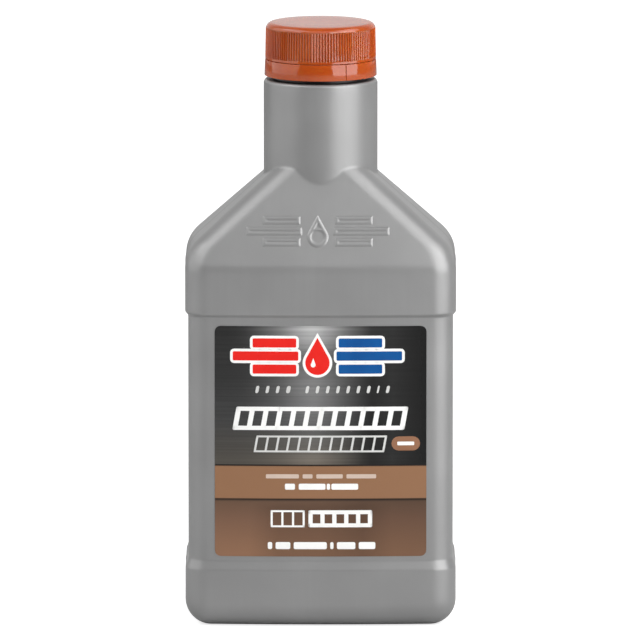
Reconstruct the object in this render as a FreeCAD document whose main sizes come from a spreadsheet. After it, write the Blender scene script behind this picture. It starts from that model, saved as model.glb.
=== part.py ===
import FreeCAD, Part
import math
import os
import Sketcher

# Motor oil bottle, one US quart: blown bottle, ribbed screw cap with liner, tamper band,
# two film labels and the oil fill. Millimetres, +Z up, origin at the centre of the base on the
# standing surface. The front panel faces -Y and the bottle's long sides run along X.

# Driving dimensions
dimensions = {
    # body of the bottle
    "bodyWidth": 102.8,
    "bodyDepth": 65.0,
    "faceRadius": 585.0,  # front and back are slightly crowned
    "cornerRadius": 9.5,
    "baseRadius": 10.0,
    "wall": 0.9,
    "pushUpDepth": 2.2,
    "pushUpTaper": 30.0,
    "pushUpCorner": 7.0,
    "standingRing": 5.5,
    # pyramid shoulder: where each slope would meet the upright wall, and how steep it is
    "sideShoulder": 142.8,
    "sideSlope": 42.0,
    "sideBend": 15.0,
    "frontShoulder": 137.3,
    "frontSlope": 70.5,
    "frontBend": 12.0,
    "slopeReach": 0.65,  # the side slopes end inside the neck, at this share of its radius
    "wasteMargin": 3.0,  # how far cut waste runs past the form
    # recessed label panel, round the whole body
    "panelBottom": 25.6,
    "panelTop": 118.7,
    "panelDepth": 1.15,
    "panelLedge": 3.4,  # height of the sloping ledge under the panel
    "bandEdge": 1.2,  # height of the rounded lower edge of the upper band
    "edgeBelly": 0.3,  # how full that edge is, as a share of its height and depth
    # neck and mouth
    "neckRadius": 21.45,
    "neckTop": 206.0,
    "neckRim": 1.2,
    "neckFoot": 1.4,
    "finishHeight": 19.0,
    "finishRadius": 17.6,
    "finishWall": 2.1,
    "beadReach": 1.8,
    "beadRise": 4.6,  # above the neck's top
    "beadHeight": 2.2,
    "beadLip": 0.7,
    # screw thread, six turns to the inch
    "threadPitch": 4.2333,
    "threadTurns": 1.5,
    "threadDepth": 1.1,
    "threadRoot": 2.4,
    "threadCrest": 1.2,
    "threadRise": 10.0,  # above the neck's top
    "threadOverlap": 0.3,  # how far a thread's root is sunk into its wall
    "threadGap": 0.3,
    # cap
    "capPlate": 1.6,
    "capHeight": 13.8,
    "capThickness": 1.75,
    "capDraft": 0.25,
    "capEdge": 2.4,
    "linerThickness": 0.9,
    "linerGap": 0.2,
    "ribCount": 120,
    "ribGroove": 0.55,
    "ribDepth": 0.4,
    "ribHead": 1.5,  # below the cap's top
    "ribFoot": 1.0,  # above the cap's lower edge
    # the cap's thread starts a quarter turn on, so that it stays above the cap's lower edge
    "capThreadTurns": 1.25,
    "capThreadRoot": 2.0,
    "capThreadCrest": 1.0,
    # tamper band
    "bandHeight": 6.1,
    "bandGap": 0.2,
    "bandThickness": 1.25,
    "bandDraft": 0.25,
    "bandBeadGap": 0.4,
    "hookGap": 0.8,
    "hookHeight": 1.6,
    "bridgeCount": 16,
    "bridgeWidth": 1.0,
    "bridgeInset": 0.3,
    "scoreAngle": 27.0,
    "scoreWidth": 0.3,
    "scoreDepth": 0.35,
    # labels
    "labelWidth": 80.0,
    "labelFoot": 1.9,  # above the panel's lower edge
    "labelHead": 3.1,  # below the panel's upper edge
    "labelCorner": 2.2,
    "labelThickness": 0.12,
    "labelGlue": 0.05,
    # fill
    "oilDrop": 18.5,  # below the neck's top
    "oilGap": 0.05,
}

doc = FreeCAD.newDocument("oil_bottle")
size = doc.addObject("Spreadsheet::Sheet", "size")
for row, (alias, value) in enumerate(dimensions.items(), start=1):
    size.set(f"A{row}", alias)
    size.set(f"B{row}", str(value))
    size.setAlias(f"B{row}", alias)
doc.recompute()

ORIGIN_POINT = (-1, 1)
NOWHERE = 1e-6
TOUCH = 0.01  # how near two places are taken as one
ALONG = 0.9  # direction cosine of an edge that runs along an axis
RISING = 0.3  # direction cosine of an edge that climbs


def measured(expression):
    """The value of an expression in the sheet's dimensions."""
    return float(size.evalExpression(expression))


def plane_of(body, role):
    return next(feature for feature in body.Origin.OriginFeatures if feature.Role == role)


def new_body(label):
    body = doc.addObject("PartDesign::Body", label)
    body.Label = label
    return body


def new_sketch(body, name, role):
    sketch = body.newObject("Sketcher::SketchObject", name)
    sketch.AttachmentSupport = [(plane_of(body, role), "")]
    sketch.MapMode = "FlatFace"
    return sketch


def place_point(sketch, geometry, point, x, y, name):
    """Tie one point of the sketch to expressions for its two coordinates."""
    for kind, axis, expression in (("DistanceX", "x", x), ("DistanceY", "y", y)):
        value = measured(expression)
        if abs(value) < NOWHERE:
            other_axis = -2 if axis == "x" else -1
            sketch.addConstraint(Sketcher.Constraint("PointOnObject", geometry, point, other_axis))
            continue
        sketch.addConstraint(Sketcher.Constraint(kind, *ORIGIN_POINT, geometry, point, value))
        label = f"{name}_{axis}"
        sketch.renameConstraint(sketch.ConstraintCount - 1, label)
        sketch.setExpression(f"Constraints.{label}", expression)


def outline(sketch, corners):
    """Closed outline of straight lines through corners, each a pair of expressions."""
    points = [FreeCAD.Vector(measured(x), measured(y), 0) for x, y in corners]
    first = sketch.GeometryCount
    count = len(points)
    for index in range(count):
        sketch.addGeometry(Part.LineSegment(points[index], points[(index + 1) % count]), False)
    for index in range(count):
        following = first + (index + 1) % count
        sketch.addConstraint(Sketcher.Constraint("Coincident", first + index, 2, following, 1))
    for index, (x, y) in enumerate(corners):
        place_point(sketch, first + index, 1, x, y, f"corner{first + index}")
    return first


def rounded_rectangle(sketch, half_x, half_y, radius):
    """Centred rectangle with tangent corner arcs, from expressions for its halves and radius."""
    wide, high, bend = measured(half_x), measured(half_y), measured(radius)
    point = FreeCAD.Vector
    up = FreeCAD.Vector(0, 0, 1)
    quarter = math.pi / 2
    inner_x, inner_y = wide - bend, high - bend
    sketch.addGeometry([
        Part.LineSegment(point(-inner_x, -high, 0), point(inner_x, -high, 0)),
        Part.LineSegment(point(wide, -inner_y, 0), point(wide, inner_y, 0)),
        Part.LineSegment(point(inner_x, high, 0), point(-inner_x, high, 0)),
        Part.LineSegment(point(-wide, inner_y, 0), point(-wide, -inner_y, 0)),
        Part.ArcOfCircle(Part.Circle(point(inner_x, -inner_y, 0), up, bend), -quarter, 0),
        Part.ArcOfCircle(Part.Circle(point(inner_x, inner_y, 0), up, bend), 0, quarter),
        Part.ArcOfCircle(Part.Circle(point(-inner_x, inner_y, 0), up, bend), quarter, 2 * quarter),
        Part.ArcOfCircle(Part.Circle(point(-inner_x, -inner_y, 0), up, bend), 2 * quarter, 3 * quarter),
    ], False)
    for side in range(4):
        arc = 4 + side
        sketch.addConstraint(Sketcher.Constraint("Tangent", side, 2, arc, 1))
        sketch.addConstraint(Sketcher.Constraint("Tangent", arc, 2, (side + 1) % 4, 1))
        sketch.addConstraint(Sketcher.Constraint("Horizontal" if side % 2 == 0 else "Vertical", side))
    for arc in (5, 6, 7):
        sketch.addConstraint(Sketcher.Constraint("Equal", 4, arc))
    sketch.addConstraint(Sketcher.Constraint("Radius", 4, bend))
    sketch.renameConstraint(sketch.ConstraintCount - 1, "bend")
    sketch.setExpression("Constraints.bend", radius)
    place_point(sketch, 4, 3, f"{half_x} - {radius}", f"{radius} - {half_y}", "lowRight")
    place_point(sketch, 6, 3, f"{radius} - {half_x}", f"{half_y} - {radius}", "highLeft")


def axis_line(sketch, x, low="0", high="size.neckTop"):
    """Upright construction line to turn about; returns its reference name."""
    bottom = FreeCAD.Vector(measured(x), measured(low), 0)
    top = FreeCAD.Vector(measured(x), measured(high), 0)
    line = sketch.addGeometry(Part.LineSegment(bottom, top), True)
    place_point(sketch, line, 1, x, low, f"axisLow{line}")
    place_point(sketch, line, 2, x, high, f"axisHigh{line}")
    return "Axis0"


def revolve(body, name, corners, kind="Revolution"):
    """Turn an outline in the XZ plane once round the Z axis."""
    sketch = new_sketch(body, name + "Outline", "XZ_Plane")
    outline(sketch, corners)
    turned = body.newObject("PartDesign::" + kind, name)
    turned.Profile = sketch
    turned.ReferenceAxis = (sketch, ["V_Axis"])
    turned.Angle = 360
    doc.recompute()
    return turned


def edges_where(shape, wanted):
    numbered = enumerate(shape.Edges, start=1)
    return [f"Edge{index}" for index, edge in numbered if not edge.Degenerated and wanted(edge)]


def middle_and_direction(edge):
    half = (edge.FirstParameter + edge.LastParameter) / 2
    return edge.valueAt(half), edge.tangentAt(half)


def round_edges(body, name, radius, wanted):
    """Fillet the edges of the body's last feature that the test picks."""
    before = body.Tip
    fillet = body.newObject("PartDesign::Fillet", name)
    fillet.Base = (before, edges_where(before.Shape, wanted))
    fillet.setExpression("Radius", radius)
    doc.recompute()
    return fillet


def lies_at(height):
    """Test for edges that lie level at one height."""
    return lambda edge: all(abs(vertex.Z - height) < TOUCH for vertex in edge.Vertexes) and (
        abs(middle_and_direction(edge)[0].z - height) < TOUCH)


# Form of the blown body. The cavity is the same form set in by the wall.
def body_form(label, inset):
    body = new_body(label)
    half = f"(size.bodyWidth / 2 - {inset})"
    deep = f"(size.bodyDepth / 2 - {inset})"
    base = inset
    rise = "(size.bodyWidth / 2 - size.slopeReach * size.neckRadius) * tan(size.sideSlope)"
    top = f"(size.sideShoulder + {rise} - {inset})"
    beyond = f"({top} + size.wasteMargin)"
    side_start = f"(size.sideShoulder - {inset} * tan(45 - size.sideSlope / 2))"
    front_start = f"(size.frontShoulder - {inset} * tan(45 - size.frontSlope / 2))"
    top_half = f"({half} - ({top} - {side_start}) / tan(size.sideSlope))"
    top_deep = f"({deep} - ({beyond} - {front_start}) / tan(size.frontSlope))"

    # front view: upright sides and the two side slopes
    front_view = new_sketch(body, label + "FrontView", "XZ_Plane")
    outline(front_view, [
        (f"-{half}", base),
        (half, base),
        (half, side_start),
        (top_half, top),
        (f"-{top_half}", top),
        (f"-{half}", side_start),
    ])
    block = body.newObject("PartDesign::Pad", label + "Block")
    block.Profile = front_view
    block.SideType = "Symmetric"
    block.setExpression("Length", "size.bodyDepth + 2 * size.wasteMargin")
    doc.recompute()
    round_edges(body, label + "SideBend", f"size.sideBend - {inset}", lies_at(measured(side_start)))

    # side view: the crowned face and its slope are cut by turning the waste about a far axis
    side_view = new_sketch(body, label + "SideView", "YZ_Plane")
    outline(side_view, [
        (f"-{deep}", f"{base} - size.wasteMargin"),
        (f"-{deep}", front_start),
        (f"-{top_deep}", beyond),
        (f"-2 * {deep}", beyond),
        (f"-2 * {deep}", f"{base} - size.wasteMargin"),
    ])
    face_axis = axis_line(side_view, "size.faceRadius - size.bodyDepth / 2")
    front_cut = body.newObject("PartDesign::Groove", label + "FrontFace")
    front_cut.Profile = side_view
    front_cut.ReferenceAxis = (side_view, [face_axis])
    front_cut.Midplane = True
    front_cut.setExpression("Angle", "2 * asin((size.bodyWidth / 2 + size.wasteMargin) / size.faceRadius)")
    doc.recompute()
    back_cut = body.newObject("PartDesign::Mirrored", label + "BackFace")
    back_cut.Originals = [front_cut]
    back_cut.MirrorPlane = (plane_of(body, "XZ_Plane"), [""])
    body.Tip = back_cut
    doc.recompute()
    round_edges(body, label + "FrontBend", f"size.frontBend - {inset}",
                lambda edge: lies_at(measured(front_start))(edge)
                and abs(middle_and_direction(edge)[1].x) > ALONG)
    round_edges(body, label + "Corners", f"size.cornerRadius - {inset}",
                lambda edge: abs(middle_and_direction(edge)[1].z) > RISING
                and middle_and_direction(edge)[0].x * middle_and_direction(edge)[0].y != 0)
    round_edges(body, label + "Base", f"size.baseRadius - {inset}", lies_at(measured(base)))
    return body


def corner_path(inset):
    """Numbers of the body's level outline, set in: half width, radii, centres and touching point.

    Each corner arc touches the side's straight line and the crowned face's large arc.
    """
    offset = measured(inset)
    half = measured("size.bodyWidth / 2") - offset
    face_radius = measured("size.faceRadius") - offset
    corner = measured("size.cornerRadius") - offset
    face_centre = measured("size.faceRadius - size.bodyDepth / 2")
    corner_x = half - corner
    reach = face_radius - corner
    corner_y = math.sqrt(reach ** 2 - corner_x ** 2) - face_centre
    along = face_radius / reach
    touch_x = corner_x * along
    touch_y = (corner_y + face_centre) * along - face_centre
    return half, corner, face_radius, face_centre, corner_x, corner_y, touch_x, touch_y


def level_loop(sketch, inset):
    """The body's level outline as eight tangent edges of a sketch."""
    half, corner, face_radius, face_centre, corner_x, corner_y, touch_x, touch_y = corner_path(inset)
    turn = math.atan2(touch_y - corner_y, touch_x - corner_x)
    swing = math.atan2(touch_x, touch_y + face_centre)
    up = FreeCAD.Vector(0, 0, 1)
    quarter = math.pi / 2
    point = FreeCAD.Vector
    edges = [
        Part.LineSegment(point(half, -corner_y, 0), point(half, corner_y, 0)),
        Part.ArcOfCircle(Part.Circle(point(corner_x, corner_y, 0), up, corner), 0, turn),
        Part.ArcOfCircle(Part.Circle(point(0, -face_centre, 0), up, face_radius),
                         quarter - swing, quarter + swing),
        Part.ArcOfCircle(Part.Circle(point(-corner_x, corner_y, 0), up, corner), math.pi - turn, math.pi),
        Part.LineSegment(point(-half, corner_y, 0), point(-half, -corner_y, 0)),
        Part.ArcOfCircle(Part.Circle(point(-corner_x, -corner_y, 0), up, corner), math.pi, math.pi + turn),
        Part.ArcOfCircle(Part.Circle(point(0, face_centre, 0), up, face_radius),
                         -quarter - swing, -quarter + swing),
        Part.ArcOfCircle(Part.Circle(point(corner_x, -corner_y, 0), up, corner), -turn, 0),
    ]
    sketch.addGeometry(edges, False)


def cut_panel(body, label, inset):
    """Recess the label panel by sweeping the waste round the body's level outline."""
    path = new_sketch(body, label + "PanelPath", "XY_Plane")
    level_loop(path, inset)
    half = f"(size.bodyWidth / 2 - {inset})"
    floor = f"({half} - size.panelDepth)"
    outside = f"({half} + size.wasteMargin)"
    ledge_slope = "size.panelLedge / size.panelDepth"
    waste = new_sketch(body, label + "PanelWaste", "XZ_Plane")
    outline(waste, [
        (floor, "size.panelBottom"),
        (outside, f"size.panelBottom - {ledge_slope} * (size.wasteMargin + size.panelDepth)"),
        (outside, "size.panelTop + size.bandEdge"),
        (half, "size.panelTop + size.bandEdge"),
        (f"{half} - size.edgeBelly * size.panelDepth", "size.panelTop + size.edgeBelly * size.bandEdge"),
        (floor, "size.panelTop"),
    ])
    recess = body.newObject("PartDesign::SubtractivePipe", label + "Panel")
    recess.Profile = waste
    recess.Spine = (path, ["Edge%d" % number for number in range(1, 9)])
    recess.Transition = "Transformed"
    doc.recompute()
    return recess


def cut_push_up(body, label, inset):
    """Hollow of the base that leaves a standing ring."""
    half = f"(size.bodyWidth / 2 - size.baseRadius - size.standingRing + {inset})"
    deep = f"(size.bodyDepth / 2 - size.baseRadius - size.standingRing + {inset})"
    plan = new_sketch(body, label + "PushUpPlan", "XY_Plane")
    rounded_rectangle(plan, half, deep, f"(size.pushUpCorner + {inset})")
    hollow = body.newObject("PartDesign::Pocket", label + "PushUp")
    hollow.Profile = plan
    hollow.Reversed = True
    hollow.setExpression("Length", f"size.pushUpDepth + {inset}")
    hollow.setExpression("TaperAngle", "-size.pushUpTaper")
    doc.recompute()
    return hollow


def thread_profile(body, name, role, wall, inwards, root, crest, start):
    """Trapezoid of a screw thread on a round wall, sunk into it by the overlap."""
    sign = "-" if inwards else "+"
    back = "+" if inwards else "-"
    sketch = new_sketch(body, name + "Profile", role)
    foot = f"{wall} {back} size.threadOverlap"
    tip = f"{wall} {sign} size.threadDepth"
    outline(sketch, [
        (foot, f"{start} - {root} / 2"),
        (tip, f"{start} - {crest} / 2"),
        (tip, f"{start} + {crest} / 2"),
        (foot, f"{start} + {root} / 2"),
    ])
    return sketch


def add_thread(body, name, profile, turns):
    """Right-hand ridge that climbs the wall by one pitch a turn."""
    ridge = body.newObject("PartDesign::AdditiveHelix", name)
    ridge.Profile = profile
    ridge.ReferenceAxis = (profile, ["V_Axis"])
    ridge.Mode = "pitch-turns-angle"
    ridge.setExpression("Pitch", "size.threadPitch")
    ridge.setExpression("Turns", turns)
    doc.recompute()
    return ridge


def polar(body, name, original, count):
    """Repeat a feature evenly round the Z axis."""
    pattern = body.newObject("PartDesign::PolarPattern", name)
    pattern.Originals = [original]
    pattern.Axis = (plane_of(body, "Z_Axis"), [""])
    pattern.Angle = 360
    pattern.setExpression("Occurrences", count)
    body.Tip = pattern
    doc.recompute()
    return pattern


def raise_plan(sketch, height):
    sketch.setExpression("AttachmentOffset.Base.z", height)


def pad_up(body, name, plan, length, kind="Pad"):
    """Add, or cut as a pocket, straight up from a level sketch."""
    raised = body.newObject("PartDesign::" + kind, name)
    raised.Profile = plan
    raised.Reversed = kind == "Pocket"
    raised.setExpression("Length", length)
    doc.recompute()
    return raised


# Places that follow from the dimensions
mouth_top = "(size.neckTop + size.finishHeight)"
bead_bottom = "(size.neckTop + size.beadRise)"
bead_radius = "(size.finishRadius + size.beadReach)"
bore_radius = "(size.finishRadius - size.finishWall)"
thread_start = "(size.neckTop + size.threadRise)"
plate_bottom = f"({mouth_top} + size.linerThickness)"
cap_top = f"({plate_bottom} + size.capPlate)"
cap_bottom = f"({cap_top} - size.capHeight)"
cap_wall = "(size.finishRadius + size.threadDepth + size.threadGap)"
cap_radius = f"({cap_wall} + size.capThickness)"
band_top = f"({cap_bottom} - size.bandGap)"
band_bottom = f"({band_top} - size.bandHeight)"
band_inner = f"({bead_radius} + size.bandBeadGap)"
band_radius = f"({band_inner} + size.bandThickness)"
hook_radius = "(size.finishRadius + size.hookGap)"
hook_top = f"({bead_bottom} - size.bandBeadGap)"
label_bottom = "(size.panelBottom + size.labelFoot)"
label_top = "(size.panelTop - size.labelHead)"

# Outside of the bottle with its neck, mouth, bead and thread
outer = body_form("outer", "0")
cut_panel(outer, "outer", "0")
cut_push_up(outer, "outer", "0")
revolve(outer, "neck", [
    ("0", "size.frontShoulder"),
    ("size.neckRadius", "size.frontShoulder"),
    ("size.neckRadius", "size.neckTop"),
    ("size.finishRadius", "size.neckTop"),
    ("size.finishRadius", bead_bottom),
    (bead_radius, bead_bottom),
    (bead_radius, f"{bead_bottom} + size.beadLip"),
    ("size.finishRadius", f"{bead_bottom} + size.beadHeight"),
    ("size.finishRadius", mouth_top),
    ("0", mouth_top),
])
neck_radius = measured("size.neckRadius")
neck_top = measured("size.neckTop")
rim_start = measured("size.neckTop - size.neckRim")


def on_neck_rim(edge):
    return lies_at(neck_top)(edge) and abs(edge.Curve.Radius - neck_radius) < TOUCH


def on_neck_foot(edge):
    middle, direction = middle_and_direction(edge)
    on_neck = abs(math.hypot(middle.x, middle.y) - neck_radius) < TOUCH
    return on_neck and abs(direction.z) < ALONG and middle.z < rim_start - TOUCH


round_edges(outer, "neckRim", "size.neckRim", on_neck_rim)
round_edges(outer, "neckFoot", "size.neckFoot", on_neck_foot)
bottle_profile = thread_profile(outer, "bottleThread", "XZ_Plane", "size.finishRadius", False,
                                "size.threadRoot", "size.threadCrest", thread_start)
add_thread(outer, "bottleThread", bottle_profile, "size.threadTurns")

def inside_form(label, inset):
    """The blown body's form with its panel and push-up, set in."""
    form = body_form(label, inset)
    cut_panel(form, label, inset)
    cut_push_up(form, label, inset)
    return form


# Cavity of the bottle, out through the mouth
cavity = inside_form("cavity", "size.wall")
past_mouth = f"{mouth_top} + size.wall"
revolve(cavity, "neckBore", [
    ("0", "size.frontShoulder"),
    ("size.neckRadius - size.wall", "size.frontShoulder"),
    ("size.neckRadius - size.wall", "size.neckTop - size.neckRim"),
    (bore_radius, "size.neckTop - size.neckRim"),
    (bore_radius, past_mouth),
    ("0", past_mouth),
])

bottle = doc.addObject("Part::Cut", "bottle")
bottle.Base = outer
bottle.Tool = cavity

# Oil, a hair clear of the wall and up to its level in the neck
oil_inset = "(size.wall + size.oilGap)"
oil_form = inside_form("oil", oil_inset)
revolve(oil_form, "oilNeck", [
    ("0", "size.frontShoulder"),
    (f"size.neckRadius - {oil_inset}", "size.frontShoulder"),
    (f"size.neckRadius - {oil_inset}", "size.neckTop - size.neckRim"),
    ("0", "size.neckTop - size.neckRim"),
])
below_level = doc.addObject("Part::Box", "below_level")
below_level.setExpression("Length", "size.bodyWidth")
below_level.setExpression("Width", "size.bodyDepth")
below_level.setExpression("Height", "size.neckTop - size.oilDrop")
below_level.setExpression("Placement.Base.x", "-size.bodyWidth / 2")
below_level.setExpression("Placement.Base.y", "-size.bodyDepth / 2")
motor_oil = doc.addObject("Part::Common", "motor_oil")
motor_oil.Base = oil_form
motor_oil.Tool = below_level
doc.recompute()

# Cap: top plate and skirt, thread, then the ribs of the grip
cap = new_body("cap")
revolve(cap, "capShell", [
    ("0", plate_bottom),
    (cap_wall, plate_bottom),
    (cap_wall, cap_bottom),
    (f"{cap_radius} + size.capDraft", cap_bottom),
    (cap_radius, cap_top),
    ("0", cap_top),
])
round_edges(cap, "capEdge", "size.capEdge", lies_at(measured(cap_top)))
cap_profile = thread_profile(cap, "capThread", "YZ_Plane", cap_wall, True, "size.capThreadRoot",
                             "size.capThreadCrest", f"({thread_start} - size.threadPitch / 4)")
add_thread(cap, "capThread", cap_profile, "size.capThreadTurns")
groove_plan = new_sketch(cap, "gripGroovePlan", "XY_Plane")
outline(groove_plan, [
    (f"{cap_radius} - size.ribDepth", "-size.ribGroove / 4"),
    (f"{cap_radius} + size.ribDepth", "-size.ribGroove"),
    (f"{cap_radius} + size.ribDepth", "size.ribGroove"),
    (f"{cap_radius} - size.ribDepth", "size.ribGroove / 4"),
])
raise_plan(groove_plan, f"{cap_bottom} + size.ribFoot")
groove_length = "size.capHeight - size.ribHead - size.ribFoot"
grip_groove = pad_up(cap, "gripGroove", groove_plan, groove_length, "Pocket")
polar(cap, "gripGrooves", grip_groove, "size.ribCount")

# Sealing disc between the cap's plate and the mouth
cap_liner = new_body("cap_liner")
revolve(cap_liner, "liner", [
    ("0", mouth_top),
    (f"{cap_wall} - size.linerGap", mouth_top),
    (f"{cap_wall} - size.linerGap", plate_bottom),
    ("0", plate_bottom),
])

# Tamper band: ring with a hook under the bottle's bead, bridges up to the cap, tear score
tamper_band = new_body("tamper_band")
revolve(tamper_band, "band", [
    (band_inner, band_bottom),
    (f"{band_radius} + size.bandDraft", band_bottom),
    (band_radius, band_top),
    (band_inner, band_top),
    (band_inner, hook_top),
    (hook_radius, hook_top),
    (hook_radius, f"{hook_top} - size.hookHeight"),
])
bridge_plan = new_sketch(tamper_band, "bridgePlan", "XY_Plane")
outline(bridge_plan, [
    (f"{band_inner} + size.bridgeInset", "-size.bridgeWidth / 2"),
    (f"{band_radius} - size.bridgeInset", "-size.bridgeWidth / 2"),
    (f"{band_radius} - size.bridgeInset", "size.bridgeWidth / 2"),
    (f"{band_inner} + size.bridgeInset", "size.bridgeWidth / 2"),
])
raise_plan(bridge_plan, band_top)
bridge = pad_up(tamper_band, "bridge", bridge_plan, "size.bandGap")
polar(tamper_band, "bridges", bridge, "size.bridgeCount")
score_plan = new_sketch(tamper_band, "scorePlan", "XY_Plane")
outline(score_plan, [
    (f"{band_radius} - size.scoreDepth", "-size.scoreWidth / 2"),
    (f"{band_radius} + 2 * size.bandDraft", "-size.scoreWidth / 2"),
    (f"{band_radius} + 2 * size.bandDraft", "size.scoreWidth / 2"),
    (f"{band_radius} - size.scoreDepth", "size.scoreWidth / 2"),
])
raise_plan(score_plan, band_bottom)
score_plan.setExpression("AttachmentOffset.Rotation.Angle", "size.scoreAngle - 90")
pad_up(tamper_band, "score", score_plan, "size.bandHeight", "Pocket")


def label_sheet(name, side):
    """Film label bent to the crowned floor of the panel; side is -1 in front, 1 behind."""
    body = new_body(name)
    floor = "(size.bodyDepth / 2 - size.panelDepth + size.labelGlue)"
    film = f"({floor} + size.labelThickness)"
    section = new_sketch(body, name + "Section", "YZ_Plane")
    outline(section, [
        (f"{side} * {floor}", label_bottom),
        (f"{side} * {film}", label_bottom),
        (f"{side} * {film}", label_top),
        (f"{side} * {floor}", label_top),
    ])
    face_axis = axis_line(section, f"{side} * (size.bodyDepth / 2 - size.faceRadius)")
    sheet = body.newObject("PartDesign::Revolution", name + "Sheet")
    sheet.Profile = section
    sheet.ReferenceAxis = (section, [face_axis])
    sheet.Midplane = True
    sheet.setExpression("Angle", "2 * asin(0.5 * size.labelWidth / (size.faceRadius - size.panelDepth))")
    doc.recompute()
    thickness = measured("size.labelThickness")
    round_edges(body, name + "Corners", "size.labelCorner", lambda edge: abs(edge.Length - thickness) < TOUCH)
    return body


front_label = label_sheet("front_label", -1)
back_label = label_sheet("back_label", 1)
doc.recompute()

# Check everything, then write one file for each piece
failed = [item.Name for item in doc.Objects if "Invalid" in item.State or "Error" in item.State]
if failed:
    raise SystemExit(f"failed: {failed}")
pieces = [bottle, cap, cap_liner, tamper_band, front_label, back_label, motor_oil]
for piece in pieces:
    if piece.Shape.isNull() or not piece.Shape.isValid() or len(piece.Shape.Solids) != 1:
        raise SystemExit(f"bad shape: {piece.Label}")
os.makedirs("parts", exist_ok=True)
for piece in pieces:
    piece.Shape.exportStep(f"parts/{piece.Label}.step")
    print(piece.Label, f"{piece.Shape.Volume / 1000:.2f} mL")
print("cavity", f"{cavity.Shape.Volume / 1000:.2f} mL")
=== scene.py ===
import bpy
import math
import numpy as np
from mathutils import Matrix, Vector


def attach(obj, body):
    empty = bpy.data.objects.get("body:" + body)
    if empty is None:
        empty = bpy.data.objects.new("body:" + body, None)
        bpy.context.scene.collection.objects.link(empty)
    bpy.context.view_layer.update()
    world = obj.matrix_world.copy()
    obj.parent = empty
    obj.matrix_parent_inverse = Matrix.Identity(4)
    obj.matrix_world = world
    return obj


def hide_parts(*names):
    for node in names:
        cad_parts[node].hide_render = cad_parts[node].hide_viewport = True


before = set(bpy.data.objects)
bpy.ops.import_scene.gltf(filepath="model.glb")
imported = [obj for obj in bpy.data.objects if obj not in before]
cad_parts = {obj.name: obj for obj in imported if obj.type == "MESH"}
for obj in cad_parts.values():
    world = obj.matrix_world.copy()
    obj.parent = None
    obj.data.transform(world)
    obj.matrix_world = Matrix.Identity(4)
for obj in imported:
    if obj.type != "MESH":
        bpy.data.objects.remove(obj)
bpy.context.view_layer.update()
mm = 0.001
print("frame loaded")


# helpers for meshes

def linkMesh(name, points, faces, materials, sharpAngle=32, faceSlots=None):
    mesh = bpy.data.meshes.new(name)
    mesh.from_pydata([tuple(float(v) * mm for v in p) for p in points], [], faces)
    mesh.polygons.foreach_set("use_smooth", [True] * len(mesh.polygons))
    for material in materials:
        mesh.materials.append(material)
    if faceSlots is not None:
        mesh.polygons.foreach_set("material_index", faceSlots)
    mesh.set_sharp_from_angle(angle=math.radians(sharpAngle))
    mesh.update()
    obj = bpy.data.objects.new(name, mesh)
    bpy.context.scene.collection.objects.link(obj)
    return obj


def joinObjects(name, objects):
    with bpy.context.temp_override(active_object=objects[0], selected_editable_objects=objects):
        bpy.ops.object.join()
    objects[0].name = name
    return objects[0]


def ringFaces(rows, columns):  # quads between closed rings that follow each other
    faces = []
    for row in range(rows - 1):
        low, high = row * columns, (row + 1) * columns
        for column in range(columns):
            following = (column + 1) % columns
            faces.append((low + column, low + following, high + following, high + column))
    return faces


def closeWithPole(points, faces, firstRing, columns, pole, upwards):
    points.append(pole)
    centre = len(points) - 1
    for column in range(columns):
        following = (column + 1) % columns
        edge = (firstRing + column, firstRing + following, centre)
        faces.append(edge if upwards else edge[::-1])


def smoothMax(a, b, blend):
    near = np.maximum(blend - np.abs(a - b), 0) / blend
    return np.maximum(a, b) + near * near * blend / 4


def softRamp(position, soft):  # 0 to 1 in a straight line with softened corners
    bend = lambda value: np.sqrt(value * value + soft * soft)
    return (bend(position) - bend(position - 1) + 1) / 2


# helpers for materials

def tint(red, green, blue):  # screen colour, 0 to 255, as the shader's linear values
    linear = [(c / 255 / 12.92 if c <= 10 else ((c / 255 + 0.055) / 1.055) ** 2.4) for c in (red, green, blue)]
    return (*linear, 1.0)


def newMaterial(name, color, roughness, **extra):
    material = bpy.data.materials.new(name)
    material.use_nodes = True
    shader = material.node_tree.nodes["Principled BSDF"]
    shader.inputs["Base Color"].default_value = color
    shader.inputs["Roughness"].default_value = roughness
    for socket, value in extra.items():
        shader.inputs[socket.replace("_", " ")].default_value = value
    return material, material.node_tree, shader


def addNode(tree, kind, inputs=None, **settings):
    node = tree.nodes.new(kind)
    for name, value in settings.items():
        setattr(node, name, value)
    for name, value in (inputs or {}).items():
        if isinstance(value, bpy.types.NodeSocket):
            tree.links.new(value, node.inputs[name])
        else:
            node.inputs[name].default_value = value
    return node


def objectPoints(tree, scale=(1, 1, 1)):
    source = addNode(tree, "ShaderNodeTexCoord").outputs["Object"]
    return addNode(tree, "ShaderNodeMapping", {"Vector": source, "Scale": scale}).outputs["Vector"]


def noise(tree, scale, detail=3.0, stretch=(1, 1, 1)):
    return addNode(tree, "ShaderNodeTexNoise",
                   {"Vector": objectPoints(tree, stretch), "Scale": scale, "Detail": detail}).outputs["Fac"]


def spread(tree, value, low, high, fromLow=0.3, fromHigh=0.7):
    return addNode(tree, "ShaderNodeMapRange", {
        "Value": value, "From Min": fromLow, "From Max": fromHigh, "To Min": low, "To Max": high,
    }).outputs["Result"]


def maths(tree, operation, first, second=0.0):
    node = addNode(tree, "ShaderNodeMath", operation=operation)
    for index, value in enumerate((first, second)):
        if isinstance(value, bpy.types.NodeSocket):
            tree.links.new(value, node.inputs[index])
        else:
            node.inputs[index].default_value = value
    return node.outputs[0]


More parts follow.
